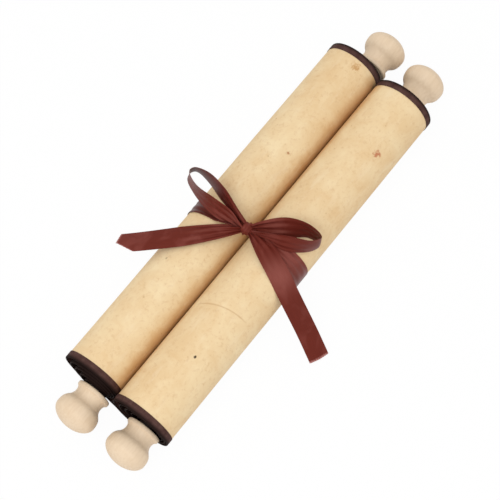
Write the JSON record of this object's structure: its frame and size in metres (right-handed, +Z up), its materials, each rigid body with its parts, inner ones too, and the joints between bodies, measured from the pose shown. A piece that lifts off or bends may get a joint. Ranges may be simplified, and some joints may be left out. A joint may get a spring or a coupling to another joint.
{
  "type": "paper scroll",
  "caption": "Parchment scroll rolled from both ends onto wooden rollers with turned knobs, edges bound in brown tape, tied with a satin ribbon bow.",
  "frame": {"origin": "on the underside of the ribbon, straight below the bow knot and midway between the two rolls, in the plane that the scroll lies on", "axes": "+X along the rollers, towards the far knobs, +Y towards the left roll, +Z up"},
  "size_m": [0.3708, 0.1596, 0.0619],
  "materials": {
    "parchment": "matt aged parchment paper, mottled tan",
    "binding_tape": "dark brown woven tape",
    "bare_wood": "sanded pale beech, unvarnished",
    "satin_ribbon": "red-brown satin"
  },
  "bodies": {
    "root": {"paper_sheet": "parchment", "edge_binding_near": "binding_tape", "edge_binding_far": "binding_tape", "left_roller": "bare_wood", "right_roller": "bare_wood", "left_knob_near": "bare_wood", "left_knob_far": "bare_wood", "right_knob_near": "bare_wood", "right_knob_far": "bare_wood", "satin_ribbon": "satin_ribbon"}
  },
  "joints": []
}
